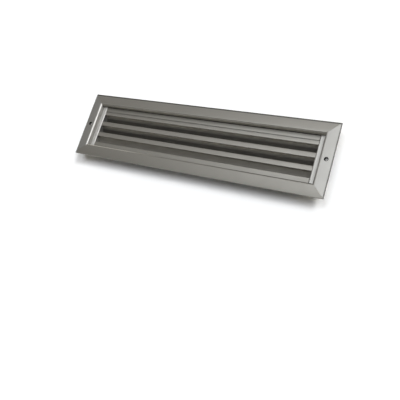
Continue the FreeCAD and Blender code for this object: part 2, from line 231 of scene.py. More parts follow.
def finish_tree(tree, given, geometry):
    """Smooth faces with sharp edges, real geometry instead of instances, and the material."""
    smooth = add_node(tree, "GeometryNodeSetShadeSmooth", {"domain": "FACE"}, {
        "Geometry": geometry})
    bend = add_node(tree, "GeometryNodeInputMeshEdgeAngle").outputs["Unsigned Angle"]
    corner = add_node(tree, "FunctionNodeCompare", {"operation": "GREATER_THAN"}, {
        0: bend, 1: SHARP_ANGLE})
    crisp = add_node(tree, "GeometryNodeSetShadeSmooth", {"domain": "EDGE"}, {
        "Geometry": smooth.outputs[0], "Selection": corner.outputs[0], "Shade Smooth": False})
    real = add_node(tree, "GeometryNodeRealizeInstances", None, {"Geometry": crisp.outputs[0]})
    coloured = add_node(tree, "GeometryNodeSetMaterial", None, {
        "Geometry": real.outputs[0], "Material": given["Material"]})
    add_node(tree, "NodeGroupOutput", None, {"Geometry": coloured.outputs[0]})

def named_attribute(tree, name, kind):
    """The value that each point carries under a name."""
    return add_node(tree, "GeometryNodeInputNamedAttribute", {"data_type": kind}, {
        "Name": name}).outputs["Attribute"]

def sweep(tree, outline, length, segments):
    """The outline with its corners rounded, pulled along X, with both ends closed."""
    ring = add_node(tree, "GeometryNodeMeshToCurve", None, {"Mesh": outline})
    fillet = add_node(tree, "GeometryNodeFilletCurve", {"mode": "POLY"}, {
        "Curve": ring.outputs[0], "Count": segments, "Limit Radius": True,
        "Radius": named_attribute(tree, "round", "FLOAT")})
    line = add_node(tree, "GeometryNodeCurvePrimitiveLine", None, {
        "Start": vector_of(tree, x=times(tree, length, -0.5)),
        "End": vector_of(tree, x=times(tree, length, 0.5))})
    swept = add_node(tree, "GeometryNodeCurveToMesh", None, {
        "Curve": line.outputs[0], "Profile Curve": fillet.outputs[0], "Fill Caps": True})
    return swept.outputs[0]

def shift(tree, geometry, x=0.0, y=0.0, z=0.0):
    return add_node(tree, "GeometryNodeTransform", None, {
        "Geometry": geometry, "Translation": vector_of(tree, x, y, z)}).outputs[0]

def turn(tree, geometry, x=0.0, y=0.0, z=0.0):
    euler = add_node(tree, "FunctionNodeEulerToRotation", None, {"Euler": vector_of(tree, x, y, z)})
    return add_node(tree, "GeometryNodeTransform", None, {
        "Geometry": geometry, "Rotation": euler.outputs[0]}).outputs[0]

def boolean(tree, operation, first, second):
    """A Mesh Boolean. Its second input takes many solids, and a union takes all of them there."""
    node = add_node(tree, "GeometryNodeMeshBoolean", {"operation": operation, "solver": "EXACT"})
    tree.links.new(first, node.inputs["Mesh 2" if operation == "UNION" else "Mesh 1"])
    tree.links.new(second, node.inputs["Mesh 2"])
    return node.outputs["Mesh"]

def cut_away(tree, solid, tool):
    return boolean(tree, "DIFFERENCE", solid, tool)

def join_up(tree, *parts):
    joined = add_node(tree, "GeometryNodeJoinGeometry")
    for part in reversed(parts):
        tree.links.new(part, joined.inputs[0])
    return joined.outputs[0]

member_tree, given = new_geometry_tree("mitred_member", [
    ("Outline", "Geometry"), ("Length", "Float"), ("Distance", "Float"), ("Turn", "Float"),
    ("Seam", "Float"), ("Round Segments", "Int"), ("Punch Inset", "Float"), ("Screw Hole", "Bool"),
    ("Material", "Material")])
member = sweep(member_tree, given["Outline"], given["Length"], given["Round Segments"])
place = parts_of(member_tree, add_node(member_tree, "GeometryNodeInputPosition").outputs[0])
inwards = add_math(member_tree, "SUBTRACT", place["Y"], times(member_tree, given["Seam"], 0.5))
mitre = times(member_tree, add_math(member_tree, "SIGN", place["X"]), inwards)
member = add_node(member_tree, "GeometryNodeSetPosition", None, {
    "Geometry": member, "Offset": vector_of(member_tree, x=mitre)}).outputs[0]
print("nodes in the sweep so far:", len(member_tree.nodes))

# %% [markdown]
# ## Punch marks and the screw hole
#
# On the back, small punch marks press the two lips on to the brackets, and each end has a
# countersunk hole whose sheet is drawn down into a deep dimple. A Mesh Boolean cuts such round
# shapes cleanly from a swept solid. The cutters are cylinders and cones, so they are placed
# in the same tree, where they follow the length of the side.

# %% Punch marks and the screw hole
PUNCH_DIAMETER, PUNCH_DEPTH = 1.6, 0.3
HOLE_INSET, HOLE_RADIUS, SINK_RADIUS, DIMPLE_BOTTOM = 11.5, 2.2, 3.8, 0.3
PUNCH_SIDES, HOLE_SIDES = 20, 48
CUT_ABOVE, CUT_BELOW, SINK_BELOW = 1.0, 1.0, 0.5

punch = add_node(member_tree, "GeometryNodeMeshCylinder", None, {
    "Vertices": PUNCH_SIDES, "Radius": PUNCH_DIAMETER / 2 * MM,
    "Depth": 2 * PUNCH_DEPTH * MM}).outputs["Mesh"]
half_member = times(member_tree, given["Length"], 0.5)
punch_reach = add_math(member_tree, "SUBTRACT", half_member, given["Punch Inset"])
punch_row = [
    shift(member_tree, punch, x=times(member_tree, punch_reach, side), y=-across * MM)
    for side in (-1, 1)
    for across in (WALL + LIP / 2, COLLAR_OUTSIDE - LIP / 2)
]
member = cut_away(member_tree, member, join_up(member_tree, *punch_row))

hole_face = face_height(HOLE_INSET)
sink_bottom = hole_face - (SINK_RADIUS - HOLE_RADIUS)
dimple_top = hole_face - WALL / 2
dimple_flare = (dimple_top - DIMPLE_BOTTOM) / 2

def cone(tree, low_radius, high_radius, low, high):
    """A closed cone about Z between two heights, in millimetres."""
    solid = add_node(tree, "GeometryNodeMeshCone", None, {
        "Vertices": HOLE_SIDES, "Radius Bottom": low_radius * MM, "Radius Top": high_radius * MM,
        "Depth": (high - low) * MM}).outputs["Mesh"]
    return shift(tree, solid, y=-HOLE_INSET * MM, z=low * MM)

dimple = cone(member_tree, HOLE_RADIUS + WALL, HOLE_RADIUS + WALL + dimple_flare,
              DIMPLE_BOTTOM, dimple_top)
pressed = boolean(member_tree, "UNION", member, dimple)
shaft = cone(member_tree, HOLE_RADIUS, HOLE_RADIUS,
             DIMPLE_BOTTOM - CUT_BELOW, hole_face + CUT_ABOVE)
sink = cone(member_tree, HOLE_RADIUS - SINK_BELOW, SINK_RADIUS + CUT_ABOVE,
            sink_bottom - SINK_BELOW, hole_face + CUT_ABOVE)
drilled = cut_away(member_tree, cut_away(member_tree, pressed, shaft), sink)
member = add_node(member_tree, "GeometryNodeSwitch", {"input_type": "GEOMETRY"}, {
    "Switch": given["Screw Hole"], "False": member, "True": drilled}).outputs[0]
member = turn(member_tree, shift(member_tree, member, y=given["Distance"]), z=given["Turn"])
finish_tree(member_tree, given, member)
print("nodes in the frame's tree:", len(member_tree.nodes))

# %% [markdown]
# ## Growing a piece
#
# A tree is a recipe, and a piece is what comes out of it. The outline goes in as a mesh of
# bare edges. Each input of the modifier is set by its socket's identifier, since two sockets
# may share a name. The result is then copied as a plain mesh, so that nothing depends on the
# tree any more and the piece can be exported as it stands.

# %% Growing a piece
def draw_outline(name, rings):
    """Rings of edges in the XY plane, one ring for each list of (y, z, radius) in millimetres."""
    places, edges, radii, kinds = [], [], [], []
    for kind, ring in enumerate(rings):
        first = len(places)
        for number, (y, z, radius) in enumerate(ring):
            places.append((-y * MM, -z * MM, 0.0))
            edges.append((first + number, first + (number + 1) % len(ring)))
            radii.append(radius * MM)
            kinds.append(kind)
    mesh = bpy.data.meshes.new(name)
    mesh.from_pydata(places, edges, [])
    mesh.attributes.new("round", "FLOAT", "POINT").data.foreach_set("value", radii)
    mesh.attributes.new("ring", "INT", "POINT").data.foreach_set("value", kinds)
    return mesh

def grow(name, mesh, tree, values, replaced):
    """Run a tree on a mesh, keep the result as a plain mesh and hand it to the frame."""
    piece = make_object(name, mesh)
    modifier = piece.modifiers.new(tree.name, "NODES")
    modifier.node_group = tree
    for item in tree.interface.items_tree:
        if item.in_out == "INPUT" and item.name in values:
            modifier[item.identifier] = values[item.name]
    depsgraph = bpy.context.evaluated_depsgraph_get()
    grown = bpy.data.meshes.new_from_object(piece.evaluated_get(depsgraph))
    piece.modifiers.clear()
    piece.data = grown
    grown.name = name
    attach(piece, "root")
    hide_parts(*replaced)
    print(name, "faces:", len(grown.polygons))

# %% [markdown]
# ## Brushed grain, edge wear and handling marks
#
# Anodised aluminium is never one flat grey. The die and the brush leave fine lines along each
# length, the sheet's cut edges are a little brighter, and hands leave faint dull patches.
# Each effect is a shader node group, so that every metal below can use it at its own scale.
# The groups put out values only, and the shader itself stays in the material.

# %% Brushed grain, edge wear and handling marks
WEAR_STARTS, WEAR_FULL = 0.995, 0.80
MARKS_START, MARKS_FULL = 0.45, 0.75

def new_shader_group(name, inputs, outputs):
    group = bpy.data.node_groups.new(name, "ShaderNodeTree")
    add_sockets(group, "INPUT", inputs)
    add_sockets(group, "OUTPUT", outputs)
    return group, add_node(group, "NodeGroupInput").outputs

def add_noise(tree, place, scale, detail, roughness=0.5, distortion=0.0):
    return add_node(tree, "ShaderNodeTexNoise", None, {
        "Vector": place, "Scale": scale, "Detail": detail, "Roughness": roughness,
        "Distortion": distortion}).outputs["Fac"]

brushed_grain, given = new_shader_group(
    "brushed_grain",
    [("Place", "Vector"), ("Stretch", "Vector")],
    [("Fine", "Float"), ("Broad", "Float")])
stretched = add_node(brushed_grain, "ShaderNodeVectorMath", {"operation": "MULTIPLY"}, {
    0: given["Place"], 1: given["Stretch"]}).outputs[0]
add_node(brushed_grain, "NodeGroupOutput", None, {
    "Fine": add_noise(brushed_grain, stretched, scale=1.0, detail=2.0, roughness=0.6),
    "Broad": add_noise(brushed_grain, stretched, scale=0.12, detail=3.0)})

edge_wear, given = new_shader_group("edge_wear", [("Radius", "Float")], [("Wear", "Float")])
rounded = add_node(edge_wear, "ShaderNodeBevel", {"samples": 6}, {"Radius": given["Radius"]})
straight = add_node(edge_wear, "ShaderNodeNewGeometry")
facing = add_node(edge_wear, "ShaderNodeVectorMath", {"operation": "DOT_PRODUCT"}, {
    0: rounded.outputs[0], 1: straight.outputs["Normal"]})
add_node(edge_wear, "NodeGroupOutput", None, {
    "Wear": ramp(edge_wear, facing.outputs["Value"], WEAR_STARTS, WEAR_FULL)})

handling_marks, given = new_shader_group(
    "handling_marks", [("Place", "Vector")], [("Marks", "Float")])
patches = add_noise(handling_marks, given["Place"], scale=24.0, detail=4.0, roughness=0.55)
add_node(handling_marks, "NodeGroupOutput", None, {
    "Marks": ramp(handling_marks, patches, MARKS_START, MARKS_FULL)})
print("shader groups:", [group.name for group in (brushed_grain, edge_wear, handling_marks)])

# %% [markdown]
# ## Satin aluminium
#
# Light on brushed metal is drawn out across the grain, so the short sides, which are brushed
# the other way, catch it differently from the long sides. That, and painted shade in the short
# sides' darker colour, is what makes each mitre show.
# The Principled BSDF does this with Anisotropic and a tangent that runs across the grain: a
# radial Tangent node about X does so on every face that is pulled along X.

# %% Satin aluminium
SATIN_ROUGHNESS, SATIN_ANISOTROPY, ROUGHNESS_SPREAD = 0.48, 0.3, 0.05
GRAIN_ALONG, GRAIN_ACROSS = 9.0, 2600.0
GRAIN_DARK, GRAIN_LIGHT, WORN_LIGHT, WORN_AMOUNT = 0.93, 1.07, 1.35, 0.5
WORN_RADIUS = 0.35
BUMP_STRENGTH, BUMP_HEIGHT = 0.12, 0.02

def add_group(tree, group, inputs):
    return add_node(tree, "ShaderNodeGroup", {"node_tree": group}, inputs).outputs

def new_metal(name, roughness, anisotropy, grain_axis):
    """A material with its shader, the place on the piece and the tangent across the grain."""
    material = bpy.data.materials.new(name)
    material.use_nodes = True
    tree = material.node_tree
    shader = tree.nodes["Principled BSDF"]
    shader.inputs["Metallic"].default_value = 1.0
    shader.inputs["Roughness"].default_value = roughness
    shader.inputs["Anisotropic"].default_value = anisotropy
    place = add_node(tree, "ShaderNodeTexCoord").outputs["Object"]
    if anisotropy:
        tangent = add_node(tree, "ShaderNodeTangent", {
            "direction_type": "RADIAL", "axis": grain_axis})
        tree.links.new(tangent.outputs[0], shader.inputs["Tangent"])
    return material, tree, shader, place

def mix_colour(tree, amount, first, second):
    """The first colour where the amount is 0, and the second where it is 1."""
    return add_node(tree, "ShaderNodeMix", {"data_type": "RGBA"}, {
        0: amount, 6: first, 7: second}).outputs[2]

def lit(colour, factor):
    """A colour made lighter or darker, with its alpha."""
    return [channel * factor for channel in colour] + [1.0]

def satin_aluminium(name, grain_axis, colour):
    material, tree, shader, place = new_metal(name, SATIN_ROUGHNESS, SATIN_ANISOTROPY, grain_axis)
    stretch = {
        "X": (GRAIN_ALONG, GRAIN_ACROSS, GRAIN_ACROSS),
        "Y": (GRAIN_ACROSS, GRAIN_ALONG, GRAIN_ACROSS)}[grain_axis]
    grain = add_group(tree, brushed_grain, {"Place": place, "Stretch": stretch})
    wear = add_group(tree, edge_wear, {"Radius": WORN_RADIUS * MM})["Wear"]
    marks = add_group(tree, handling_marks, {"Place": place})["Marks"]
    tone = times(tree, add_math(tree, "ADD", grain["Fine"], grain["Broad"]), 0.5)
    base = mix_colour(tree, tone, lit(colour, GRAIN_DARK), lit(colour, GRAIN_LIGHT))
    base = mix_colour(tree, times(tree, wear, WORN_AMOUNT), base, lit(colour, WORN_LIGHT))
    tree.links.new(base, shader.inputs["Base Color"])
    rough = add_math(
        tree, "ADD", times(tree, marks, ROUGHNESS_SPREAD),
        spread(tree, grain["Broad"], SATIN_ROUGHNESS - ROUGHNESS_SPREAD,
               SATIN_ROUGHNESS + ROUGHNESS_SPREAD))
    tree.links.new(rough, shader.inputs["Roughness"])
    bump = add_node(tree, "ShaderNodeBump", None, {
        "Strength": BUMP_STRENGTH, "Distance": BUMP_HEIGHT * MM, "Height": grain["Fine"]})
    tree.links.new(bump.outputs[0], shader.inputs["Normal"])
    return material

ALUMINIUM = (0.298, 0.288, 0.264)
# The short sides' colour is a darker copy of the same aluminium, as painted shade.
SHADED_ALUMINIUM_END = (0.268, 0.263, 0.249)
aluminium_long = satin_aluminium("satin_aluminium_long", "X", ALUMINIUM)
aluminium_end = satin_aluminium("satin_aluminium_end", "Y", SHADED_ALUMINIUM_END)
print("aluminium materials:", aluminium_long.name, aluminium_end.name)

# %% [markdown]
# ## Painted light and shade on the frame
#
# The frame isn't equally bright everywhere in the photograph, and masks paint that light and
# shade into the metal's colour. The rolled inner edge gets a painted highlight, and so does the
# wall under it at the upper side. At the lower side its far strip gets a painted highlight on
# the left and painted shade on the right. The far outer edge gets a thin line of painted shade,
# the screw holes are painted nearly black inside as shade, and the collar that goes into the
# door is painted darker as shade. Each place is a mask from the point's own coordinates, so it
# stays with the metal whatever the camera does, and a tone multiplies the colour there.

# %% Painted light and shade on the frame
# Each pair says where a mask starts and where it is full, in millimetres: in from the outer
# edge, above the door face, along the grille, or out from the screw hole's axis.
ROLL_INSET, STRIP_INSET = (19.8, 21.8), (21.5, 22.8)
LONG_RIM_SHADE_INSET, END_RIM_SHADE_INSET = (3.4, 2.2), (1.9, 1.1)
WALL_LEVEL, STRIP_LEVEL, COLLAR_LEVEL = (5.0, 1.5), (1.0, 2.2), (-3.0, -8.0)
STRIP_LEFT, STRIP_RIGHT = (-60.0, -150.0), (0.0, 120.0)
UPPER_SIDE, LOWER_SIDE, BORE_RADIUS = (0.0, 1.0), (0.0, -1.0), (4.1, 3.7)
# Each tone multiplies the colour: above 1 it paints light, below 1 it paints shade.
TOP_ROLL_HIGHLIGHT, TOP_WALL_PAINTED_LIGHT, END_ROLL_HIGHLIGHT, RIM_PAINTED_SHADE = 1.5, 2.1, 1.35, 0.37
STRIP_LEFT_HIGHLIGHT, STRIP_RIGHT_PAINTED_SHADE, BORE_PAINTED_SHADE, COLLAR_PAINTED_SHADE = 3.2, 0.25, 0.08, 0.4

def mask_mm(tree, value, limits):
    """A ramp between two measures in millimetres."""
    return ramp(tree, value, limits[0] * MM, limits[1] * MM)

def mask_inset(tree, place, half_size, limits):
    """A ramp between two distances in from the frame's outer edge, in millimetres."""
    return ramp(tree, place, half_size - limits[0] * MM, half_size - limits[1] * MM)

def place_parts(tree):
    """X, Y and Z of the shaded point, in the shared frame."""
    return parts_of(tree, add_node(tree, "ShaderNodeTexCoord").outputs["Object"])

def paint_light_and_shade(material, mask, tone):
    """Paints light and shade into the metal's colour, by multiplying it by the tone where the mask
    is 1.
    """
    tree = material.node_tree
    colour = tree.nodes["Principled BSDF"].inputs["Base Color"]
    toned = add_node(tree, "ShaderNodeVectorMath", {"operation": "SCALE"}, {
        "Vector": colour.links[0].from_socket, "Scale": spread(tree, mask, 1.0, tone)}).outputs[0]
    tree.links.new(toned, colour)

half_length, half_height = cad_box[1][0], cad_box[1][1]

tree = aluminium_long.node_tree
place = place_parts(tree)
# Painted highlight on the upper side's rolled edge, and more painted light on the wall under it.
upper_roll = times(tree, mask_inset(tree, place["Y"], half_height, ROLL_INSET),
                   mask_mm(tree, place["Y"], UPPER_SIDE))
paint_light_and_shade(aluminium_long, upper_roll, TOP_ROLL_HIGHLIGHT)
upper_wall = times(tree, upper_roll, mask_mm(tree, place["Z"], WALL_LEVEL))
paint_light_and_shade(aluminium_long, upper_wall, TOP_WALL_PAINTED_LIGHT)
# Painted highlight on the lower side's far strip at the left, and painted shade at the right.
lower_strip = times(
    tree, mask_inset(tree, times(tree, place["Y"], -1.0), half_height, STRIP_INSET),
    mask_mm(tree, place["Z"], STRIP_LEVEL), mask_mm(tree, place["Y"], LOWER_SIDE))
for limits, tone in ((STRIP_LEFT, STRIP_LEFT_HIGHLIGHT), (STRIP_RIGHT, STRIP_RIGHT_PAINTED_SHADE)):
    stretch = times(tree, lower_strip, mask_mm(tree, place["X"], limits))
    paint_light_and_shade(aluminium_long, stretch, tone)
# A thin line of painted shade along the long sides' outer edge.
rim_shade = mask_inset(tree, place["Y"], half_height, LONG_RIM_SHADE_INSET)
paint_light_and_shade(aluminium_long, rim_shade, RIM_PAINTED_SHADE)
# Painted shade on the long sides' collar below the flange.
paint_light_and_shade(aluminium_long, mask_mm(tree, place["Z"], COLLAR_LEVEL), COLLAR_PAINTED_SHADE)

tree = aluminium_end.node_tree
place = place_parts(tree)
from_middle = add_math(tree, "ABSOLUTE", place["X"])
# Painted highlight on the short sides' rolled edge.
paint_light_and_shade(aluminium_end, mask_inset(tree, from_middle, half_length, ROLL_INSET), END_ROLL_HIGHLIGHT)
# A thin line of painted shade along the short sides' outer edge.
rim_shade = mask_inset(tree, place["X"], half_length, END_RIM_SHADE_INSET)
paint_light_and_shade(aluminium_end, rim_shade, RIM_PAINTED_SHADE)
# Painted shade that makes the screw holes nearly black inside.
aside = add_math(tree, "SUBTRACT", from_middle, half_length - HOLE_INSET * MM)
squares = [times(tree, part, part) for part in (aside, place["Y"])]
from_hole = add_math(tree, "SQRT", add_math(tree, "ADD", *squares))
paint_light_and_shade(aluminium_end, mask_mm(tree, from_hole, BORE_RADIUS), BORE_PAINTED_SHADE)
# Painted shade on the short sides' collar below the flange.
paint_light_and_shade(aluminium_end, mask_mm(tree, place["Z"], COLLAR_LEVEL), COLLAR_PAINTED_SHADE)
print("nodes in the short sides' metal:", len(tree.nodes))

# %% [markdown]
# ## Four sides of the frame
#
# The same outline and the same tree give all four sides: only the length, the distance from
# the middle and the turn change. The two short sides get the screw hole.

# %% Four sides of the frame
SEAM = 0.30
BRACKET_LEG, PUNCH_FROM_END = 45.0, 8.0
FRAME_SEGMENTS = 10

def frame_side(side, half_span, distance, angle, material, drilled):
    ring = [(-inset, height, radius) for inset, height, radius in frame_outline]
    values = {
        "Length": 2 * half_span, "Distance": distance, "Turn": math.radians(angle),
        "Seam": SEAM * MM, "Round Segments": FRAME_SEGMENTS,
        "Punch Inset": (BRACKET_LEG - PUNCH_FROM_END) * MM,
        "Screw Hole": drilled, "Material": material}
    grow("profile_" + side, draw_outline("outline_" + side, [ring]), member_tree, values,
         ["frame_" + side])

frame_side("top", half_length, half_height, 0, aluminium_long, False)
frame_side("left", half_height, half_length, 90, aluminium_end, True)
frame_side("bottom", half_length, half_height, 180, aluminium_long, False)
frame_side("right", half_height, half_length, 270, aluminium_end, True)

# %% [markdown]
# ## Blades
#
# A blade is a strip of sheet: 10 mm of it faces the room, and the rest is folded back over the
# top and slopes down behind, so that nobody sees through the door. All three come from one
# outline and one row of points. Two tabs at each end go through slots in the core. The sloping
# legs get painted light just behind the strips and painted shade further down, as the
# photograph shows them.

# %% Blades
BLADE_STRIP, BLADE_WALL, BLADE_DEPTH, BLADE_SLOPE = 10.2, 1.2, 18.0, math.radians(60)
BLADE_SPAN, TAB_SPAN = 475.6, 482.4
STRIP_TAB, LEG_TAB, BLADE_COUNT = (2.5, 9.4), (22.0, 28.0), 3
FOLD_RADIUS, FOLD_INSIDE_RADIUS, STRIP_EDGE = 1.7, 0.5, 0.3
BLADE_SEGMENTS, TAB_SEGMENTS = 6, 1
fold_rise = FOLD_RADIUS / math.tan(math.radians(45) - BLADE_SLOPE / 2) - FOLD_RADIUS

def leg_point(along, through, radius=0.0):
    """A corner on the sloping leg, along it from the fold and through its sheet."""
    y = fold_rise - along * math.sin(BLADE_SLOPE) - through * math.cos(BLADE_SLOPE)
    z = through * math.sin(BLADE_SLOPE) - along * math.cos(BLADE_SLOPE)
    return (y, z, radius)

fold_inside = fold_rise - BLADE_WALL * (1 + math.sin(BLADE_SLOPE)) / math.cos(BLADE_SLOPE)
leg_length = BLADE_DEPTH / math.cos(BLADE_SLOPE)
blade_ring = [
    (fold_rise, 0.0, FOLD_RADIUS),
    (-BLADE_STRIP, 0.0, STRIP_EDGE),
    (-BLADE_STRIP, -BLADE_WALL, EDGE),
    (fold_inside, -BLADE_WALL, FOLD_INSIDE_RADIUS),
    leg_point(leg_length, BLADE_WALL, EDGE),
    leg_point(leg_length, 0.0, EDGE),
]
tab_start, tab_end = STRIP_TAB
strip_tab = [
    (-tab_start, 0.0, 0.0), (-tab_end, 0.0, 0.0),
    (-tab_end, -BLADE_WALL, 0.0), (-tab_start, -BLADE_WALL, 0.0)]
tab_start, tab_end = LEG_TAB
leg_tab = [
    leg_point(tab_start, 0), leg_point(tab_start, BLADE_WALL),
    leg_point(tab_end, BLADE_WALL), leg_point(tab_end, 0)]

blade_tree, given = new_geometry_tree("folded_blades", [
    ("Outline", "Geometry"), ("Span", "Float"), ("Tab Span", "Float"), ("Count", "Int"),
    ("Pitch", "Float"), ("First Height", "Float"), ("Level", "Float"), ("Round Segments", "Int"),
    ("Material", "Material")])

def part_of_outline(tree, outline, kinds):
    """The rings of the outline whose number compares with 0 in the given way."""
    chosen = add_node(tree, "FunctionNodeCompare", {"data_type": "INT", "operation": kinds}, {
        2: named_attribute(tree, "ring", "INT"), 3: 0})
    return add_node(tree, "GeometryNodeSeparateGeometry", {"domain": "POINT"}, {
        "Geometry": outline, "Selection": chosen.outputs[0]}).outputs[0]

def repeat(tree, single, count, start, offset):
    """Copies of a piece on a row of points."""
    row = add_node(tree, "GeometryNodeMeshLine", {"mode": "OFFSET"}, {
        "Count": count, "Start Location": start, "Offset": offset})
    return add_node(tree, "GeometryNodeInstanceOnPoints", None, {
        "Points": row.outputs[0], "Instance": single}).outputs[0]

body = sweep(blade_tree, part_of_outline(blade_tree, given["Outline"], "EQUAL"), given["Span"],
             given["Round Segments"])
tab_reach = add_math(blade_tree, "SUBTRACT", given["Tab Span"], given["Span"])
tab = sweep(blade_tree, part_of_outline(blade_tree, given["Outline"], "GREATER_THAN"),
            times(blade_tree, tab_reach, 0.5), TAB_SEGMENTS)
tab_middle = times(blade_tree, add_math(blade_tree, "ADD", given["Tab Span"], given["Span"]), 0.25)
tabs = [shift(blade_tree, tab, x=times(blade_tree, tab_middle, side)) for side in (-1, 1)]
blades = repeat(
    blade_tree, join_up(blade_tree, body, *tabs), given["Count"],
    vector_of(blade_tree, y=given["First Height"], z=given["Level"]),
    vector_of(blade_tree, y=times(blade_tree, given["Pitch"], -1.0)))
finish_tree(blade_tree, given, blades)

first_corner, second_corner, third_corner = (
    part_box("blade_1")[1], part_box("blade_2")[1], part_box("blade_3")[1])
blade_level, blade_pitch = first_corner[2], first_corner[1] - second_corner[1]

BLADE_ALUMINIUM = (0.302, 0.292, 0.268)
# Tones that paint light on the sloping legs and shade deeper down, most on the upper two legs.
LEG_STARTS, LEG_SHADE = (-1.4, -2.4), (-6.4, -10.2)
LEG_PAINTED_LIGHT, DEEP_PAINTED_SHADE, UPPER_DEEP_PAINTED_SHADE, UPPER_SHALLOW_PAINTED_LIGHT = 2.3, 0.8, 0.24, 1.3
SPLIT_START, SPLIT_END = 0.4, 0.6

blade_material = satin_aluminium("satin_aluminium_blade", "X", BLADE_ALUMINIUM)
tree = blade_material.node_tree
place = place_parts(tree)
depth = add_math(tree, "SUBTRACT", place["Z"], blade_level)
leg = mask_mm(tree, depth, LEG_STARTS)
deep = mask_mm(tree, depth, LEG_SHADE)
shallow = mask_mm(tree, depth, LEG_SHADE[::-1])

def across_legs(corner):
    """How far a place lies across the parallel legs. It is the same all over one leg."""
    return corner[1] * math.cos(BLADE_SLOPE) - corner[2] * math.sin(BLADE_SLOPE)

third_leg = across_legs(third_corner)
leg_gap = across_legs(second_corner) - third_leg
shaded_place = add_math(
    tree, "SUBTRACT", times(tree, place["Y"], math.cos(BLADE_SLOPE)),
    times(tree, place["Z"], math.sin(BLADE_SLOPE)))
upper_two = ramp(tree, shaded_place, third_leg + SPLIT_START * leg_gap,
                 third_leg + SPLIT_END * leg_gap)
# Painted light on the legs, painted shade on their deep parts, and more of both on the upper two.
paint_light_and_shade(blade_material, leg, LEG_PAINTED_LIGHT)
paint_light_and_shade(blade_material, deep, DEEP_PAINTED_SHADE)
paint_light_and_shade(blade_material, times(tree, deep, upper_two), UPPER_DEEP_PAINTED_SHADE)
paint_light_and_shade(blade_material, times(tree, shallow, leg, upper_two), UPPER_SHALLOW_PAINTED_LIGHT)

blade_outline = draw_outline("outline_blade", [blade_ring, strip_tab, leg_tab])
blade_values = {
    "Span": BLADE_SPAN * MM, "Tab Span": TAB_SPAN * MM, "Count": BLADE_COUNT,
    "Pitch": blade_pitch, "First Height": first_corner[1], "Level": blade_level,
    "Round Segments": BLADE_SEGMENTS, "Material": blade_material}
grow("louvre_blades", blade_outline, blade_tree, blade_values,
     ["blade_1", "blade_2", "blade_3"])
print("blade pitch in mm:", round(blade_pitch / MM, 2))

# %% [markdown]
# ## Rivets
#
# Blind rivets hold the core's corners together and fix the core in the collar. One rivet is
# turned from its profile in Python, ring by ring. A tree then sets it along a row and repeats
# the row on the far side, turned half round, so that each head points outwards.

# %% Rivets
HEAD_RADIUS, HEAD_HEIGHT, SHANK_RADIUS, BULB_RADIUS, BULB_LENGTH = 2.9, 1.2, 1.6, 2.3, 3.4
PIN_RADIUS, PIN_RECESS, HEAD_ROUND, BULB_ROUND = 0.9, 0.9, 0.9, 0.8
RIVET_LEVEL, RIVET_SIDES, ROUND_STEPS = -16.0, 36, 5

def quarter(radius_at, level_at, round_radius, first_angle):
    """Points of a quarter circle about (radius_at, level_at), turning clockwise."""
    points = []
    for number in range(ROUND_STEPS + 1):
        angle = math.radians(first_angle - 90 * number / ROUND_STEPS)
        points.append((radius_at + round_radius * math.cos(angle),
                       level_at + round_radius * math.sin(angle)))
    return points

def rivet_profile(grip):
    """Radius and height down the rivet's outside, from the recess of its pin to the bulb's end."""
    bulb_end, recess_level = -grip - BULB_LENGTH, HEAD_HEIGHT - PIN_RECESS
    return (
        [(0.0, recess_level), (PIN_RADIUS, recess_level), (PIN_RADIUS, HEAD_HEIGHT)]
        + quarter(HEAD_RADIUS - HEAD_ROUND, HEAD_HEIGHT - HEAD_ROUND, HEAD_ROUND, 90)
        + [(HEAD_RADIUS, 0.0), (SHANK_RADIUS, 0.0), (SHANK_RADIUS, -grip), (BULB_RADIUS, -grip)]
        + quarter(BULB_RADIUS - BULB_ROUND, bulb_end + BULB_ROUND, BULB_ROUND, 0)
        + [(0.0, bulb_end)]
    )

def turned_mesh(name, profile):
    """A closed solid turned about Z, with one vertex at each pole."""
    sides = RIVET_SIDES
    places = [(0.0, 0.0, profile[0][1] * MM)]
    for radius, level in profile[1:-1]:
        for number in range(sides):
            angle = 2 * math.pi * number / sides
            x, y = radius * math.cos(angle), radius * math.sin(angle)
            places.append((x * MM, y * MM, level * MM))
    places.append((0.0, 0.0, profile[-1][1] * MM))
    faces = [(0, 1 + number, 1 + (number + 1) % sides) for number in range(sides)]
    for ring in range(len(profile) - 3):
        upper, lower = 1 + ring * sides, 1 + (ring + 1) * sides
        for number in range(sides):
            following = (number + 1) % sides
            faces.append((upper + number, lower + number, lower + following, upper + following))
    last, bottom = 1 + (len(profile) - 3) * sides, len(places) - 1
    faces += [(bottom, last + (number + 1) % sides, last + number) for number in range(sides)]
    mesh = bpy.data.meshes.new(name)
    mesh.from_pydata(places, [], faces)
    return mesh

rivet_tree, given = new_geometry_tree("rivet_rows", [
    ("Rivet", "Geometry"), ("Count", "Int"), ("Spacing", "Float"), ("Distance", "Float"),
    ("Level", "Float"), ("Turn", "Float"), ("Material", "Material")])
gaps = add_math(rivet_tree, "SUBTRACT", given["Count"], 1.0)
near = repeat(
    rivet_tree, turn(rivet_tree, given["Rivet"], x=-math.pi / 2), given["Count"],
    vector_of(rivet_tree, times(rivet_tree, gaps, given["Spacing"], -0.5), given["Distance"],
              given["Level"]),
    vector_of(rivet_tree, x=given["Spacing"]))
both = join_up(rivet_tree, near, turn(rivet_tree, near, z=math.pi))
finish_tree(rivet_tree, given, turn(rivet_tree, both, z=given["Turn"]))

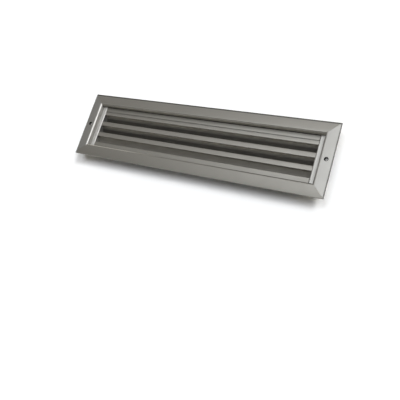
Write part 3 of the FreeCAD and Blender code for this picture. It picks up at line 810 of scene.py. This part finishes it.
RIVET_DARK, RIVET_LIGHT = (0.46, 0.46, 0.45, 1.0), (0.56, 0.56, 0.55, 1.0)
RIVET_WORN, RIVET_WORN_RADIUS = (0.70, 0.70, 0.69, 1.0), 0.25
RIVET_ROUGHNESS = (0.34, 0.46)
rivet_metal, tree, shader, place = new_metal(
    "rivet_aluminium", roughness=0.38, anisotropy=0.0, grain_axis="X")
marks = add_group(tree, handling_marks, {"Place": place})["Marks"]
wear = add_group(tree, edge_wear, {"Radius": RIVET_WORN_RADIUS * MM})["Wear"]
speckle = add_noise(tree, place, scale=900.0, detail=3.0)
base = mix_colour(tree, wear, mix_colour(tree, speckle, RIVET_DARK, RIVET_LIGHT), RIVET_WORN)
tree.links.new(base, shader.inputs["Base Color"])
tree.links.new(spread(tree, marks, *RIVET_ROUGHNESS), shader.inputs["Roughness"])

def set_rivets(name, grip, count, spacing, distance, angle, replaced):
    values = {
        "Count": count, "Spacing": spacing * MM, "Distance": distance * MM,
        "Level": RIVET_LEVEL * MM, "Turn": math.radians(angle), "Material": rivet_metal}
    rivet = turned_mesh(name, rivet_profile(grip))
    grow(name, rivet, rivet_tree, values, replaced)

set_rivets("rivets_collar", grip=2.9, count=3, spacing=189.5, distance=49.0, angle=0, replaced=[
    "frame_rivet_%s_%s" % (edge, where)
    for edge in ("top", "bottom") for where in ("left", "middle", "right")])
set_rivets("rivets_core", grip=2.4, count=2, spacing=83.6, distance=239.2, angle=90, replaced=[
    "core_rivet_%s_%s" % (edge, where)
    for edge in ("top", "bottom") for where in ("left", "right")])

# %% [markdown]
# ## Core and corner brackets
#
# The core's rails and stiles and the corner brackets keep their CAD solids, which have the
# right folds and slots already. They only need a finish: the rails are brushed along X and
# the stiles along Y. The stiles' colour is lighter than the rails' as painted light, and the
# upper rail gets a painted shadow where it meets the frame. The brackets are zinc plated steel
# with a yellow passivated film, which shifts between gold, olive and rose where the film is
# thicker or thinner.

# %% Core and corner brackets
def dress(node_name, material):
    """Give a CAD node a material in every slot it has."""
    node = nodes[node_name]
    if not node.material_slots:
        node.data.materials.append(material)
    for slot in node.material_slots:
        slot.material = material

# The stiles' lighter colour is painted light, for the light that falls on them from the right.
RAIL_ALUMINIUM, STILE_ALUMINIUM_LIT = (0.290, 0.281, 0.258), (0.372, 0.366, 0.350)
RAIL_SHADE, RAIL_SHADE_TONE = (39.5, 43.5), 0.62
core_rail_metal = satin_aluminium("satin_aluminium_rail", "X", RAIL_ALUMINIUM)
core_stile_metal = satin_aluminium("satin_aluminium_stile", "Y", STILE_ALUMINIUM_LIT)
tree = core_rail_metal.node_tree
# A painted shadow darkens the upper rail just below the frame's rolled edge.
below_roll = mask_mm(tree, place_parts(tree)["Y"], RAIL_SHADE)
paint_light_and_shade(core_rail_metal, below_roll, RAIL_SHADE_TONE)

FILM_HUES = [
    (0.30, (0.44, 0.33, 0.20, 1.0)),
    (0.50, (0.56, 0.46, 0.24, 1.0)),
    (0.70, (0.42, 0.43, 0.26, 1.0)),
]
FILM_WORN, FILM_WORN_AMOUNT, FILM_WORN_RADIUS = (0.60, 0.58, 0.54, 1.0), 0.7, 0.3
FILM_ROUGHNESS = (0.30, 0.46)
bracket_metal, tree, shader, place = new_metal(
    "yellow_zinc", roughness=0.36, anisotropy=0.0, grain_axis="X")
film = add_noise(tree, place, scale=120.0, detail=3.0, distortion=1.5)
hues = add_node(tree, "ShaderNodeValToRGB", None, {"Fac": film})
hues.color_ramp.elements.new(FILM_HUES[1][0])
for stop, (position, hue) in zip(hues.color_ramp.elements, FILM_HUES):
    stop.position = position
    stop.color = hue
wear = add_group(tree, edge_wear, {"Radius": FILM_WORN_RADIUS * MM})["Wear"]
base = mix_colour(tree, times(tree, wear, FILM_WORN_AMOUNT), hues.outputs[0], FILM_WORN)
tree.links.new(base, shader.inputs["Base Color"])
marks = add_group(tree, handling_marks, {"Place": place})["Marks"]
tree.links.new(spread(tree, marks, *FILM_ROUGHNESS), shader.inputs["Roughness"])

finishes = [
    (core_rail_metal, "core_rail", ("top", "bottom")),
    (core_stile_metal, "core_stile", ("left", "right")),
    (bracket_metal, "corner_bracket", ("top_right", "top_left", "bottom_left", "bottom_right")),
]
for material, kind, wheres in finishes:
    for where in wheres:
        dress(kind + "_" + where, material)
    print(kind, "nodes dressed:", len(wheres))

# %% [markdown]
# ## Floor and light
#
# The table is plain white, and all light comes from soft patches of sky: three strong ones high
# up at the right and behind, and weak broad ones all round. Metal shows its surroundings, so
# the place and width of the patches shade the long sides from dark on the left to light on the
# right and give the soft shadow in front. Near the horizon the room is white, which also gives
# a white background when the camera comes down.

# %% Floor and light
FLOOR_WHITE, FLOOR_ROUGHNESS = (1.0, 1.0, 1.0, 1.0), 0.8
ROOM_WHITE, ROOM_TOP = (1.0, 1.0, 1.0, 1.0), (0.14, 0.22)

floor_paint = bpy.data.materials.new("white_table")
floor_paint.use_nodes = True
tree = floor_paint.node_tree
floor_shader = tree.nodes["Principled BSDF"]
floor_shader.inputs["Roughness"].default_value = FLOOR_ROUGHNESS
floor_shader.inputs["Specular IOR Level"].default_value = 0.0
floor_shader.inputs["Base Color"].default_value = FLOOR_WHITE
floor.data.materials.append(floor_paint)

world = bpy.data.worlds.new("studio")
bpy.context.scene.world = world
world.use_nodes = True
sky = world.node_tree
background = sky.nodes["Background"]
direction = add_node(sky, "ShaderNodeTexCoord").outputs["Generated"]

def towards(elevation, azimuth):
    """The direction of a patch of sky, from its angles in degrees."""
    up, about = math.radians(elevation), math.radians(azimuth)
    flat = math.cos(up)
    return Vector((flat * math.cos(about), flat * math.sin(about), math.sin(up)))

# The middle of each patch, the power that narrows it, and its light.
sky_patches = [
    (towards(50, 40), 120.0, (31.0, 31.3, 31.6)),
    (towards(75, 110), 40.0, (6.4, 6.6, 6.85)),
    (towards(50, 10), 40.0, (3.9, 3.95, 4.0)),
    (towards(38, 22), 8.0, (0.72, 0.72, 0.73)),
    (towards(12, 90), 8.0, (0.86, 0.80, 0.71)),
    (towards(38, 158), 8.0, (0.33, 0.31, 0.28)),
    (towards(62, 180), 8.0, (0.24, 0.23, 0.21)),
    (towards(12, 250), 8.0, (0.20, 0.19, 0.17)),
]
glow_sum = (0.0, 0.0, 0.0)
for middle, sharpness, colour in sky_patches:
    facing = add_node(sky, "ShaderNodeVectorMath", {"operation": "DOT_PRODUCT"}, {
        0: direction, 1: middle}).outputs["Value"]
    glow = add_math(sky, "POWER", add_math(sky, "MAXIMUM", facing, 0.0), sharpness)
    glow_sum = add_node(sky, "ShaderNodeVectorMath", {"operation": "MULTIPLY_ADD"}, {
        0: glow, 1: colour, 2: glow_sum}).outputs[0]
above_room = ramp(sky, parts_of(sky, direction)["Z"], *ROOM_TOP)
room = mix_colour(sky, above_room, ROOM_WHITE, glow_sum)
sky.links.new(room, background.inputs["Color"])
background.inputs["Strength"].default_value = 1.0

bpy.context.scene.view_settings.view_transform = "Standard"
print("patches of sky:", len(sky_patches))
